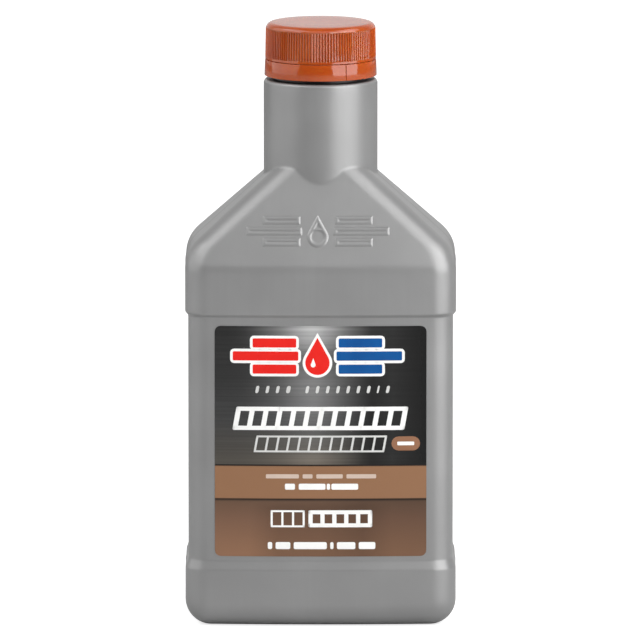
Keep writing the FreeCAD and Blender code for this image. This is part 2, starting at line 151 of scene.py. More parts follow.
def blendColors(tree, factor, first, second, mode="MIX"):
    node = addNode(tree, "ShaderNodeMix", data_type="RGBA", blend_type=mode)
    for index, value in ((0, factor), (6, first), (7, second)):
        if isinstance(value, bpy.types.NodeSocket):
            tree.links.new(value, node.inputs[index])
        else:
            node.inputs[index].default_value = value
    return node.outputs[2]


def colorRamp(tree, value, stops, interpolation="LINEAR"):
    node = addNode(tree, "ShaderNodeValToRGB", {"Fac": value})
    node.color_ramp.interpolation = interpolation
    elements = node.color_ramp.elements
    for element, (position, color) in zip(list(elements), (stops[0], stops[-1])):
        element.position, element.color = position, color
    for position, color in stops[1:-1]:
        elements.new(position).color = color
    return node.outputs["Color"]


def addBumps(tree, shader, *layers):  # each layer: height value, strength, distance in metres
    normal = None
    for height, strength, distance in layers:
        inputs = {"Height": height, "Strength": strength, "Distance": distance}
        if normal is not None:
            inputs["Normal"] = normal
        normal = addNode(tree, "ShaderNodeBump", inputs).outputs["Normal"]
    tree.links.new(normal, shader.inputs["Normal"])


def connect(tree, value, shader, socket):
    tree.links.new(value, shader.inputs[socket])


# materials of the moulded pieces

plasticLook = {
    "grey": tint(149, 149, 149),
    "greyDark": tint(141, 141, 141),
    # the darkest grey is painted shade for the slit under the tamper band
    "paintedShadeGrey": tint(52, 52, 52),
    "roughness": (0.34, 0.41),
    "metallic": 0.42,
    "gapShade": (205.92, 206.04, 207.8, 208.8),  # heights of the shade painted on the neck in the slit under the tamper band, from and to
    "grainScale": 1500.0,
    "waveScale": 38.0,
}


def makeBottlePlastic():
    look = plasticLook
    material, tree, shader = newMaterial("greyBottlePlastic", look["grey"], 0.4, Metallic=look["metallic"])
    clouds = noise(tree, look["waveScale"], 2.0)
    streaks = noise(tree, 1.0, 3.0, (420, 420, 22))
    grain = noise(tree, look["grainScale"], 2.0)
    colour = blendColors(tree, spread(tree, clouds, 0, 1), look["grey"], look["greyDark"])
    colour = blendColors(tree, spread(tree, streaks, 0.0, 0.35), colour, look["greyDark"])
    source = addNode(tree, "ShaderNodeTexCoord").outputs["Object"]
    height = addNode(tree, "ShaderNodeSeparateXYZ", {"Vector": source}).outputs["Z"]
    # painted shade: the neck is darkened in the slit under the tamper band, where the band's shadow falls
    low, full, fade, high = (z * mm for z in look["gapShade"])
    paintedShadeMask = maths(tree, "MULTIPLY", spread(tree, height, 0, 1, low, full), spread(tree, height, 1, 0, fade, high))
    colour = blendColors(tree, paintedShadeMask, colour, look["paintedShadeGrey"])
    connect(tree, colour, shader, "Base Color")
    connect(tree, spread(tree, grain, *look["roughness"]), shader, "Roughness")
    addBumps(tree, shader, (clouds, 0.25, 0.0006), (streaks, 0.05, 0.0001), (grain, 0.12, 0.00004))
    return material


capLook = {
    "orange": tint(178, 78, 20),
    "orangeDeep": tint(164, 66, 15),
    "roughness": (0.07, 0.11),
    "glowWeight": 0.4,  # light that wanders inside the thin plastic
    "glowReach": 0.0025,
}


def makeCapPlastic():
    look = capLook
    material, tree, shader = newMaterial("orangeCapPlastic", look["orange"], 0.24)
    shader.inputs["IOR"].default_value = 1.6
    shader.inputs["Subsurface Weight"].default_value = look["glowWeight"]
    shader.inputs["Subsurface Radius"].default_value = (1.0, 0.45, 0.15)
    shader.inputs["Subsurface Scale"].default_value = look["glowReach"]
    clouds = noise(tree, 90.0, 2.0)
    grain = noise(tree, 1800.0, 2.0)
    colour = blendColors(tree, spread(tree, clouds, 0, 1), look["orange"], look["orangeDeep"])
    connect(tree, colour, shader, "Base Color")
    connect(tree, spread(tree, grain, *look["roughness"]), shader, "Roughness")
    addBumps(tree, shader, (clouds, 0.15, 0.0003), (grain, 0.06, 0.00003))
    return material


def makeLinerFoam():
    material, tree, shader = newMaterial("linerFoam", tint(232, 231, 226), 0.75)
    cells = addNode(tree, "ShaderNodeTexVoronoi",
                    {"Vector": objectPoints(tree), "Scale": 2200.0}).outputs["Distance"]
    colour = blendColors(tree, spread(tree, cells, 0, 1, 0.0, 0.6), tint(214, 212, 205), tint(240, 239, 235))
    connect(tree, colour, shader, "Base Color")
    addBumps(tree, shader, (cells, 0.3, 0.00008))
    return material


def makeOil():
    material, tree, shader = newMaterial("amberOil", tint(176, 104, 26), 0.04)
    shader.inputs["IOR"].default_value = 1.47
    shader.inputs["Coat Weight"].default_value = 0.5
    shader.inputs["Coat Roughness"].default_value = 0.02
    clouds = noise(tree, 55.0, 2.0)
    colour = blendColors(tree, spread(tree, clouds, 0, 1), tint(176, 104, 26), tint(150, 82, 16))
    connect(tree, colour, shader, "Base Color")
    connect(tree, spread(tree, clouds, 0.03, 0.07), shader, "Roughness")
    return material


bottlePlastic = makeBottlePlastic()
capPlastic = makeCapPlastic()
linerFoam = makeLinerFoam()
oilLook = makeOil()
print("moulded materials ready")


# the blown bottle: one closed skin, built from level rings

bottle = {
    "width": 102.8, "depth": 65.0, "faceRadius": 585.0, "cornerRadius": 9.5, "baseRadius": 10.0, "wall": 0.9,
    "sideShoulder": 142.8, "sideSlope": 42.0, "sideBend": 15.0,
    "frontShoulder": 137.3, "frontSlope": 70.5, "frontBend": 12.0,
    "panelBottom": 25.6, "panelTop": 118.7, "panelDepth": 1.15, "panelLedge": 3.4, "bandEdge": 1.2,
    "neckRadius": 21.45, "neckTop": 206.0, "neckRim": 1.2, "neckBlend": 0.35,
    "finishRadius": 17.6, "boreRadius": 15.5, "mouthTop": 225.0, "lipRound": 0.5,
    "beadRadius": 19.4, "beadBottom": 210.6, "beadHeight": 2.2, "beadLip": 0.7,
    "hollowX": 35.9, "hollowY": 17.0, "hollowCorner": 7.0, "hollowDepth": 2.2, "hollowSlope": 1.27,
    "seamHeight": 0.14, "seamWidth": 0.22,  # parting line of the mould
}


def slopeInset(height, start, slope, bend):  # how far a wall has leant in at a height
    turn = math.radians(90 - slope)
    rise = height - (start - bend * math.tan(turn / 2))
    along = np.clip(rise, 0, bend * math.sin(turn))
    arc = bend - np.sqrt(bend ** 2 - along ** 2)
    straight = (height - start) * math.tan(turn)
    return np.where(rise > bend * math.sin(turn), straight, arc)


def levelRadius(c, s, half, deep, corner, faceRadius, faceCentre):
    # distance from the axis to a level outline with crowned faces and round corners
    cornerX = half - corner
    cornerY = np.sqrt((faceRadius - corner) ** 2 - cornerX ** 2) - faceCentre
    touchX = cornerX * faceRadius / (faceRadius - corner)
    side = half / np.maximum(c, 1e-6)
    face = -s * faceCentre + np.sqrt(faceRadius ** 2 - (c * faceCentre) ** 2)
    across = cornerX * c + cornerY * s
    inside = across ** 2 - (cornerX ** 2 + cornerY ** 2 - corner ** 2)
    arc = across + np.sqrt(np.maximum(inside, 0))
    return np.where(side * s < cornerY, side, np.where(face * c < touchX, face, arc))


def bodyRadius(angle, height, inset):
    b = bottle
    c, s = np.abs(np.cos(angle)), np.abs(np.sin(angle))
    rise = np.clip(b["baseRadius"] - height, 0, b["baseRadius"])
    foot = b["baseRadius"] - np.sqrt(b["baseRadius"] ** 2 - rise ** 2)
    ledge = softRamp((height - b["panelBottom"] + b["panelLedge"]) / b["panelLedge"], 0.07)
    edge = softRamp((height - b["panelTop"]) / b["bandEdge"], 0.14)
    extra = inset + foot + b["panelDepth"] * (ledge - edge)
    fromSide = slopeInset(height, b["sideShoulder"], b["sideSlope"], b["sideBend"])
    fromFace = slopeInset(height, b["frontShoulder"], b["frontSlope"], b["frontBend"])
    half = np.maximum(b["width"] / 2 - b["seamHeight"] - fromSide - extra, 1.0)
    deep = np.maximum(b["depth"] / 2 - fromFace - extra, 1.0)
    corner = np.clip(b["cornerRadius"] - extra, 0.8, 0.9 * np.minimum(half, deep))
    centre = b["faceRadius"] - b["depth"] / 2
    return levelRadius(c, s, half, deep, corner, deep + centre, centre)


def skinRadius(angle, height, inset=0.0):
    b = bottle
    body = bodyRadius(angle, height, inset)
    neck = np.where(height > b["frontShoulder"], b["neckRadius"] - inset, 1.0)
    radius = smoothMax(body, neck, b["neckBlend"])
    if inset == 0.0:
        across = radius * np.sin(angle)
        radius = radius + b["seamHeight"] * np.exp(-(across / b["seamWidth"]) ** 2)
    return radius


def quadrantAngles():  # denser at the corners and at the parting line, in degrees
    return np.concatenate([[0, 0.14, 0.28, 0.5, 1.0], np.linspace(2.4, 22, 9), np.linspace(23, 62, 40),
                           np.linspace(64, 90, 14)])


def allAngles():
    quarter = quadrantAngles()
    half = np.concatenate([quarter, 180 - quarter[-2::-1]])
    return np.radians(np.concatenate([half, 180 + half[1:-1]]))


def arcPoints(centreR, centreZ, radius, start, end, count):
    turn = np.radians(np.linspace(start, end, count))
    return [(centreR + radius * math.cos(t), centreZ + radius * math.sin(t)) for t in turn]


def makeBottleSkin():
    b = bottle
    angles = allAngles()
    columns = len(angles)
    rings = []

    def addRing(radius, height):
        radius = np.broadcast_to(radius, angles.shape)
        rings.append(np.column_stack([radius * np.cos(angles), radius * np.sin(angles),
                                      np.full(columns, height)]))

    hollow = lambda inset: levelRadius(np.abs(np.cos(angles)), np.abs(np.sin(angles)),
                                       b["hollowX"] - inset, b["hollowY"] - inset,
                                       b["hollowCorner"] - inset, 1e4, 1e4 - b["hollowY"] + inset)
    edge = skinRadius(angles, 0.0)
    for share in (0.25, 0.5, 0.75):
        addRing(hollow(b["hollowSlope"]) * share, b["hollowDepth"])
    for inset, height in ((2.2, 1.0), (1.35, 0.985), (1.05, 0.9), (0.15, 0.08), (-0.2, 0.015), (-0.6, 0.0)):
        addRing(hollow(b["hollowSlope"] * inset), b["hollowDepth"] * height)
    inner = hollow(-0.6 * b["hollowSlope"])
    for share in (0.35, 0.7):
        addRing(inner + (edge - inner) * share, 0.0)

    footTurn = np.radians(np.linspace(0, 90, 13))
    heights = np.concatenate([
        b["baseRadius"] * (1 - np.cos(footTurn)), np.linspace(12, 21, 4), np.linspace(21.3, 26.8, 24),
        np.linspace(28, 117.4, 11), np.linspace(117.8, 120.8, 16), np.linspace(122, 131, 4),
        np.linspace(132, 188, 104), np.linspace(190, b["neckTop"] - b["neckRim"], 8),
    ])
    for height in heights:
        addRing(skinRadius(angles, height), height)

    lip = b["lipRound"]
    finish = arcPoints(b["neckRadius"] - b["neckRim"], b["neckTop"] - b["neckRim"], b["neckRim"], 12, 90, 6)
    finish += [(b["finishRadius"] + 0.6, b["neckTop"]), (b["finishRadius"] + 0.15, b["neckTop"] + 0.15),
               (b["finishRadius"], b["neckTop"] + 0.6), (b["finishRadius"], b["beadBottom"] - 0.3),
               (b["finishRadius"] + 0.2, b["beadBottom"]), (b["beadRadius"] - 0.2, b["beadBottom"]),
               (b["beadRadius"], b["beadBottom"] + 0.2), (b["beadRadius"], b["beadBottom"] + b["beadLip"]),
               (b["beadRadius"] - 0.2, b["beadBottom"] + b["beadLip"] + 0.2),
               (b["finishRadius"] + 0.15, b["beadBottom"] + b["beadHeight"]),
               (b["finishRadius"], b["beadBottom"] + b["beadHeight"] + 0.4)]
    finish += arcPoints(b["finishRadius"] - lip, b["mouthTop"] - lip, lip, 0, 90, 5)
    finish += arcPoints(b["boreRadius"] + lip, b["mouthTop"] - lip, lip, 90, 180, 5)
    innerNeck = b["neckRadius"] - b["wall"]
    finish += [(b["boreRadius"], b["neckTop"] - b["neckRim"] + 0.4),
               (b["boreRadius"] + 0.4, b["neckTop"] - b["neckRim"]),
               (innerNeck - 0.8, b["neckTop"] - b["neckRim"]), (innerNeck, b["neckTop"] - b["neckRim"] - 0.8)]
    for radius, height in finish:
        addRing(radius, height)

    wall = b["wall"]
    turn = np.radians(np.linspace(15, 90, 7))
    inside = np.concatenate([np.linspace(198, 189, 4), np.linspace(187, 134, 46), np.linspace(128, 121, 3),
                             np.linspace(119.5, 117.5, 4), np.linspace(105, 28, 6), np.linspace(26, 21.5, 8),
                             np.linspace(18, 12, 3), b["baseRadius"] - (b["baseRadius"] - wall) * np.sin(turn)])
    for height in inside:
        addRing(skinRadius(angles, height, wall), height)
    for inset, height in ((-0.8, 0.0), (0.3, 0.9), (1.0, 1.0)):
        addRing(hollow(b["hollowSlope"] * inset - wall), wall + b["hollowDepth"] * height)
    for share in (0.7, 0.35):
        addRing(hollow(b["hollowSlope"] - wall) * share, wall + b["hollowDepth"])

    points = [tuple(p) for ring in rings for p in ring]
    faces = ringFaces(len(rings), columns)
    lastRing = (len(rings) - 1) * columns
    closeWithPole(points, faces, 0, columns, (0, 0, b["hollowDepth"]), False)
    closeWithPole(points, faces, lastRing, columns, (0, 0, wall + b["hollowDepth"]), True)
    return linkMesh("bottleShell", points, faces, [bottlePlastic])


bottleShell = makeBottleSkin()
print("bottle skin", len(bottleShell.data.polygons), "faces")


# screw threads, as a node tree that runs a profile up a helix

def newTree(name, inputs):
    tree = bpy.data.node_groups.new(name, "GeometryNodeTree")
    tree.interface.new_socket("Geometry", in_out="OUTPUT", socket_type="NodeSocketGeometry")
    for label, kind in inputs:
        tree.interface.new_socket(label, in_out="INPUT", socket_type=kind)
    return tree, tree.nodes.new("NodeGroupInput").outputs, tree.nodes.new("NodeGroupOutput")


def finishTree(tree, groupOutput, geometry, material):
    realized = addNode(tree, "GeometryNodeRealizeInstances", {"Geometry": geometry}).outputs["Geometry"]
    painted = addNode(tree, "GeometryNodeSetMaterial", {"Geometry": realized, "Material": material})
    tree.links.new(painted.outputs["Geometry"], groupOutput.inputs["Geometry"])


def runTree(name, tree, values, sharpAngle=40):
    mesh = bpy.data.meshes.new(name + "Start")
    obj = bpy.data.objects.new(name, mesh)
    bpy.context.scene.collection.objects.link(obj)
    modifier = obj.modifiers.new("made", "NODES")
    modifier.node_group = tree
    identifiers = {item.name: item.identifier for item in tree.interface.items_tree if item.in_out == "INPUT"}
    for label, value in values.items():
        modifier[identifiers[label]] = value
    evaluated = obj.evaluated_get(bpy.context.evaluated_depsgraph_get())
    made = bpy.data.meshes.new_from_object(evaluated)
    obj.modifiers.clear()
    obj.data = made
    made.polygons.foreach_set("use_smooth", [True] * len(made.polygons))
    made.set_sharp_from_angle(angle=math.radians(sharpAngle))
    return obj


def endTaper(tree, share):  # 1 along a curve, falling to nearly 0 over a share at each end
    factor = addNode(tree, "GeometryNodeSplineParameter").outputs["Factor"]
    nearest = maths(tree, "MINIMUM", factor, maths(tree, "SUBTRACT", 1.0, factor))
    return addNode(tree, "ShaderNodeMapRange", {"Value": nearest, "From Min": 0.0, "From Max": share,
                                                "To Min": 0.12, "To Max": 1.0}).outputs["Result"]


def sweptMesh(tree, curve, profile, radius):
    sized = addNode(tree, "GeometryNodeSetCurveRadius", {"Curve": curve, "Radius": radius}).outputs["Curve"]
    return addNode(tree, "GeometryNodeCurveToMesh",
                   {"Curve": sized, "Profile Curve": profile, "Fill Caps": True}).outputs["Mesh"]


def threadTree():
    tree, given, output = newTree("screwThread", [
        ("Turns", "NodeSocketFloat"), ("Pitch", "NodeSocketFloat"), ("Wall Radius", "NodeSocketFloat"),
        ("Depth", "NodeSocketFloat"), ("Root", "NodeSocketFloat"), ("Crest", "NodeSocketFloat"),
        ("Start Height", "NodeSocketFloat"), ("Start Angle", "NodeSocketFloat"),
        ("Material", "NodeSocketMaterial")])
    rise = maths(tree, "MULTIPLY", given["Turns"], given["Pitch"])
    helix = addNode(tree, "GeometryNodeCurveSpiral", {
        "Resolution": 72, "Rotations": given["Turns"], "Start Radius": given["Wall Radius"],
        "End Radius": given["Wall Radius"], "Height": rise}).outputs["Curve"]
    upright = addNode(tree, "GeometryNodeSetCurveNormal", {"Curve": helix}, mode="Z_UP").outputs["Curve"]
    profile = addNode(tree, "GeometryNodeCurvePrimitiveQuadrilateral", {
        "Height": given["Depth"], "Bottom Width": given["Root"], "Top Width": given["Crest"], "Offset": 0.0},
        mode="TRAPEZOID").outputs["Curve"]
    swept = sweptMesh(tree, upright, profile, endTaper(tree, 0.06))
    place = addNode(tree, "ShaderNodeCombineXYZ", {"Z": given["Start Height"]}).outputs["Vector"]
    turn = addNode(tree, "ShaderNodeCombineXYZ", {"Z": given["Start Angle"]}).outputs["Vector"]
    moved = addNode(tree, "GeometryNodeTransform",
                    {"Geometry": swept, "Translation": place, "Rotation": turn}).outputs["Geometry"]
    finishTree(tree, output, moved, given["Material"])
    return tree


thread = {
    "pitch": 4.2333, "depth": 1.1, "overlap": 0.3, "start": 216.0,
    "bottleTurns": 1.5, "bottleRoot": 2.4, "bottleCrest": 1.2,
    "capTurns": 1.25, "capRoot": 2.0, "capCrest": 1.0, "capWall": 19.0,
}
threadNodes = threadTree()


def makeThread(name, turns, wallRadius, inwards, root, crest, height, angle, material):
    depth = thread["depth"] + thread["overlap"]
    middle = (thread["depth"] - thread["overlap"]) / 2
    return runTree(name, threadNodes, {
        "Turns": turns, "Pitch": thread["pitch"] * mm,
        "Wall Radius": (wallRadius - middle if inwards else wallRadius + middle) * mm,
        "Depth": (-depth if inwards else depth) * mm, "Root": root * mm, "Crest": crest * mm,
        "Start Height": height * mm, "Start Angle": math.radians(angle), "Material": material})


bottleThread = makeThread("bottleThread", thread["bottleTurns"], bottle["finishRadius"], False,
                          thread["bottleRoot"], thread["bottleCrest"], thread["start"], 0.0, bottlePlastic)
bottleShell = joinObjects("bottleShell", [bottleShell, bottleThread])
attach(bottleShell, "root")
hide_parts("bottle")
print("bottle thread joined")


# a plain motif of a drop between staggered bars, for the label and the shoulder

motif = {
    "dropRadius": 4.6, "dropTip": 9.6, "dropLift": -2.6,
    "barHeight": 3.5, "barGap": 1.5, "inner": (8.0, 7.2, 8.0), "outer": (24.5, 32.0, 24.5),
    "outline": 1.0,
}


def dropTangent(radius, tip):
    return radius * math.sqrt(1 - (radius / tip) ** 2), radius ** 2 / tip


def barRows(grow=0.0):  # low x, high x, low z, high z of each bar beside the drop
    m = motif
    rows = []
    for row in range(3):
        centre = (row - 1) * (m["barHeight"] + m["barGap"])
        low, high = centre - m["barHeight"] / 2 - grow, centre + m["barHeight"] / 2 + grow
        rows.append((-m["outer"][row] - grow, -m["inner"][row] + grow, low, high))
        rows.append((m["inner"][row] - grow, m["outer"][row] + grow, low, high))
    return rows


# raised motif on the shoulder's front slope, moulded with the bottle

relief = {
    "centreX": -1.1, "centreZ": 151.2, "scaleX": 0.84, "scaleZ": 0.8, "height": 0.45, "edge": 0.38,
    "sink": 0.06, "halfX": 28.5, "halfZ": 7.0, "step": 0.28,
}


def motifDistance(x, z):  # below 0 inside a shape of the motif
    m = motif
    distance = np.full(np.shape(x), 1e3)
    for lowX, highX, lowZ, highZ in barRows():
        away = np.maximum(np.abs(x - (lowX + highX) / 2) - (highX - lowX) / 2,
                          np.abs(z - (lowZ + highZ) / 2) - (highZ - lowZ) / 2)
        distance = np.minimum(distance, away)
    tangentX, tangentZ = dropTangent(m["dropRadius"], m["dropTip"])
    up = z - m["dropLift"]
    ball = np.hypot(x, up) - m["dropRadius"]
    normalX, normalZ = tangentX / m["dropRadius"], tangentZ / m["dropRadius"]
    cone = np.maximum(np.abs(x) * normalX + up * normalZ - m["dropRadius"], tangentZ - up)
    return np.minimum(distance, np.minimum(ball, cone))


def makeRelief():
    r = relief
    across = np.arange(-r["halfX"], r["halfX"] + r["step"] / 2, r["step"])
    up = np.arange(-r["halfZ"], r["halfZ"] + r["step"] / 2, r["step"])
    x, z = np.meshgrid(across, up)
    distance = motifDistance(x / r["scaleX"], z / r["scaleZ"]) * r["scaleZ"]
    rim = np.clip((r["edge"] - distance) / (2 * r["edge"]), 0, 1)
    inner = np.clip((-distance - 2.2 * r["edge"]) / (2 * r["edge"]), 0, 1)
    ease = lambda v: v * v * (3 - 2 * v)
    lift = r["height"] * (ease(rim) - 0.6 * ease(inner)) - r["sink"]
    worldX, worldZ = x + r["centreX"], z + r["centreZ"]
    face = frontDepth(worldX, worldZ)
    lean = math.radians(90 - bottle["frontSlope"])
    rows, columns = x.shape
    top = np.column_stack([worldX.ravel(), -(face + lift * math.cos(lean)).ravel(),
                           (worldZ + lift * math.sin(lean)).ravel()])
    under = np.column_stack([worldX.ravel(), -(face - 0.5).ravel(), worldZ.ravel()])
    points = [tuple(p) for p in np.vstack([top, under])]
    offset = rows * columns
    near = distance.ravel() < r["edge"] + r["step"]
    quads = []
    for row in range(rows - 1):
        for column in range(columns - 1):
            a = row * columns + column
            quad = (a, a + 1, a + columns + 1, a + columns)
            if any(near[corner] for corner in quad):
                quads.append(quad)
    edges = {(quad[i], quad[(i + 1) % 4]) for quad in quads for i in range(4)}
    rim = [(first, second) for first, second in edges if (second, first) not in edges]
    faces = quads + [tuple(offset + i for i in quad[::-1]) for quad in quads]
    faces += [(second, first, first + offset, second + offset) for first, second in sorted(rim)]
    used = sorted({corner for face in faces for corner in face})
    renumbered = {corner: index for index, corner in enumerate(used)}
    faces = [tuple(renumbered[corner] for corner in face) for face in faces]
    return linkMesh("shoulderRelief", [points[corner] for corner in used], faces, [bottlePlastic])


def frontDepth(x, z):  # distance of the front slope from the XZ plane
    b = bottle
    deep = b["depth"] / 2 - slopeInset(z, b["frontShoulder"], b["frontSlope"], b["frontBend"])
    centre = b["faceRadius"] - b["depth"] / 2
    return np.sqrt((deep + centre) ** 2 - x ** 2) - centre


shoulderRelief = makeRelief()
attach(shoulderRelief, "root")
print("shoulder relief ready")


# cap and tamper band: turned profiles with node-made ribs and bridges

def latheProfile(name, profile, columns, material, columnAngles=None, notch=None, sharpAngle=32):
    # profile runs round the section; closed on itself unless it starts and ends on the axis
    angles = columnAngles if columnAngles is not None else np.linspace(0, 2 * math.pi, columns, endpoint=False)
    columns = len(angles)
    poles = profile[0][0] == 0
    rings = profile[1:-1] if poles else profile
    points, faces = [], []
    for radius, height in rings:
        for angle in angles:
            reach = radius - (notch(radius, angle) if notch else 0)
            points.append((reach * math.cos(angle), reach * math.sin(angle), height))
    faces = ringFaces(len(rings), columns)
    if poles:
        closeWithPole(points, faces, 0, columns, (0, 0, profile[0][1]), False)
        closeWithPole(points, faces, (len(rings) - 1) * columns, columns, (0, 0, profile[-1][1]), True)
    else:
        last = (len(rings) - 1) * columns
        for column in range(columns):
            following = (column + 1) % columns
            faces.append((last + column, last + following, following, column))
    return linkMesh(name, points, faces, [material], sharpAngle)


def ringTree():
    tree, given, output = newTree("barsRoundAxis", [
        ("Count", "NodeSocketInt"), ("Low Radius", "NodeSocketFloat"), ("High Radius", "NodeSocketFloat"),
        ("Low Height", "NodeSocketFloat"), ("High Height", "NodeSocketFloat"),
        ("Bar Radius", "NodeSocketFloat"), ("End Share", "NodeSocketFloat"),
        ("Material", "NodeSocketMaterial")])
    low = addNode(tree, "ShaderNodeCombineXYZ", {"X": given["Low Radius"], "Z": given["Low Height"]})
    high = addNode(tree, "ShaderNodeCombineXYZ", {"X": given["High Radius"], "Z": given["High Height"]})
    line = addNode(tree, "GeometryNodeCurvePrimitiveLine",
                   {"Start": low.outputs["Vector"], "End": high.outputs["Vector"]}).outputs["Curve"]
    steps = addNode(tree, "GeometryNodeResampleCurve", {"Curve": line, "Count": 12}).outputs["Curve"]
    profile = addNode(tree, "GeometryNodeCurvePrimitiveCircle",
                      {"Resolution": 8, "Radius": given["Bar Radius"]}).outputs["Curve"]
    bar = sweptMesh(tree, steps, profile, endTaper(tree, given["End Share"]))
    spots = addNode(tree, "GeometryNodeMeshLine", {"Count": given["Count"], "Offset": (0, 0, 0)}).outputs["Mesh"]
    index = addNode(tree, "GeometryNodeInputIndex").outputs["Index"]
    turn = maths(tree, "DIVIDE", maths(tree, "MULTIPLY", index, 2 * math.pi), given["Count"])
    rotation = addNode(tree, "ShaderNodeCombineXYZ", {"Z": turn}).outputs["Vector"]
    placed = addNode(tree, "GeometryNodeInstanceOnPoints",
                     {"Points": spots, "Instance": bar, "Rotation": rotation}).outputs["Instances"]
    finishTree(tree, output, placed, given["Material"])
    return tree


cap = {
    "top": 227.5, "bottom": 213.7, "radius": 20.75, "draft": 0.25, "edge": 2.4, "wallRadius": 19.0,
    "plateBottom": 225.9, "ribCount": 120, "ribWidth": 0.74, "ribDepth": 0.4, "ribTop": 225.6,
    "ribBottom": 214.5, "skirtLip": 0.14, "columns": 192,
}
ringNodes = ringTree()


def capOuter(height):
    return cap["radius"] + cap["draft"] * (cap["top"] - height) / (cap["top"] - cap["bottom"])


def makeCap():
    c = cap
    lip = c["skirtLip"]
    profile = [(0, c["plateBottom"]), (c["wallRadius"] * 0.6, c["plateBottom"]),
               (c["wallRadius"] - 0.5, c["plateBottom"]), (c["wallRadius"], c["plateBottom"] - 0.5),
               (c["wallRadius"], c["bottom"] + lip), (c["wallRadius"] + lip, c["bottom"]),
               (capOuter(c["bottom"]) - lip, c["bottom"]), (capOuter(c["bottom"]), c["bottom"] + lip),
               (capOuter(c["ribBottom"]), c["ribBottom"]),
               (capOuter(c["ribBottom"]) - c["ribDepth"], c["ribBottom"] + 0.45),
               (capOuter(c["ribTop"]) - c["ribDepth"], c["ribTop"] - 0.6),
               (capOuter(c["ribTop"]) - 0.12, c["ribTop"] - 0.05)]
    profile += arcPoints(c["radius"] - c["edge"], c["top"] - c["edge"], c["edge"], 13, 90, 9)
    profile += [(c["radius"] * 0.6, c["top"]), (c["radius"] * 0.2, c["top"]), (0, c["top"])]
    shell = latheProfile("capShell", profile, c["columns"], capPlastic)
    ribs = runTree("capRibs", ringNodes, {
        "Count": c["ribCount"], "Low Radius": (capOuter(c["ribBottom"]) - c["ribWidth"] / 2) * mm,
        "High Radius": (capOuter(c["ribTop"]) - c["ribWidth"] / 2) * mm,
        "Low Height": (c["ribBottom"] + 0.1) * mm, "High Height": c["ribTop"] * mm,
        "Bar Radius": c["ribWidth"] / 2 * mm, "End Share": 0.06, "Material": capPlastic})
    inner = makeThread("capThread", thread["capTurns"], thread["capWall"], True, thread["capRoot"],
                       thread["capCrest"], thread["start"] - thread["pitch"] / 4, 90.0, capPlastic)
    return joinObjects("capShell", [shell, ribs, inner])


capShell = makeCap()
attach(capShell, "cap")
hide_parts("cap")
print("cap", len(capShell.data.polygons), "faces")

band = {
    "bottom": 207.4, "top": 213.5, "inner": 19.8, "radius": 21.05, "draft": 0.25, "hook": 18.4,
    "hookTop": 210.2, "hookHeight": 1.6, "lip": 0.18, "bridgeCount": 16, "bridgeRadius": 0.45,
    "bridgeTop": 213.7, "scoreAngle": -63.0, "scoreHalf": 0.16, "scoreDepth": 0.35,
}


def bandNotch(radius, angle):
    away = abs((math.degrees(angle) - band["scoreAngle"] + 180) % 360 - 180)
    reach = math.radians(away) * band["radius"]
    return band["scoreDepth"] if radius > 20.6 and reach < band["scoreHalf"] * 1.01 else 0.0


def makeBand():
    d = band
    lip = d["lip"]
    slope = lambda height: d["radius"] + d["draft"] * (d["top"] - height) / (d["top"] - d["bottom"])
    profile = [(d["inner"], d["bottom"]), (slope(d["bottom"]) - lip, d["bottom"]),
               (slope(d["bottom"]) - 0.05, d["bottom"] + 0.05), (slope(d["bottom"] + lip), d["bottom"] + lip),
               (slope(d["top"] - lip), d["top"] - lip), (slope(d["top"]) - 0.05, d["top"] - 0.05),
               (slope(d["top"]) - lip, d["top"]), (d["inner"] + 0.2, d["top"]), (d["inner"], d["top"] - 0.2),
               (d["inner"], d["hookTop"]), (d["hook"] + 0.1, d["hookTop"]),
               (d["hook"], d["hookTop"] - 0.2), (d["hook"], d["hookTop"] - d["hookHeight"] + 0.2),
               (d["hook"] + 0.2, d["hookTop"] - d["hookHeight"])]
    step = math.degrees(d["scoreHalf"] / d["radius"])
    extra = [d["scoreAngle"] + step * k for k in (-1.35, -1.0, 1.0, 1.35)]
    even = [k * 360 / 180 for k in range(180)]
    even = [a for a in even if all(abs((a - e + 180) % 360 - 180) > 0.3 for e in extra)]
    angles = np.radians(sorted([a % 360 for a in even + extra]))
    ring = latheProfile("tamperRing", profile, 0, capPlastic, angles, bandNotch)
    bridges = runTree("bandBridges", ringNodes, {
        "Count": d["bridgeCount"], "Low Radius": 20.4 * mm, "High Radius": 20.4 * mm,
        "Low Height": (d["top"] - 0.3) * mm, "High Height": d["bridgeTop"] * mm,
        "Bar Radius": d["bridgeRadius"] * mm, "End Share": 0.01, "Material": capPlastic})
    return joinObjects("tamperRing", [ring, bridges])


tamperRing = makeBand()
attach(tamperRing, "root")
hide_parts("tamper_band")
print("tamper band ready")


# labels: a film bent to the panel, with flat fields of ink on it

film = {
    "halfWidth": 40.0, "bottom": 27.5, "top": 115.6, "corner": 2.2, "thickness": 0.12, "glue": 0.05,
    "inkLift": 0.012, "bandTop": 62.7, "bandBottom": 49.5,
}


def grey(level):
    return tint(level, level, level)


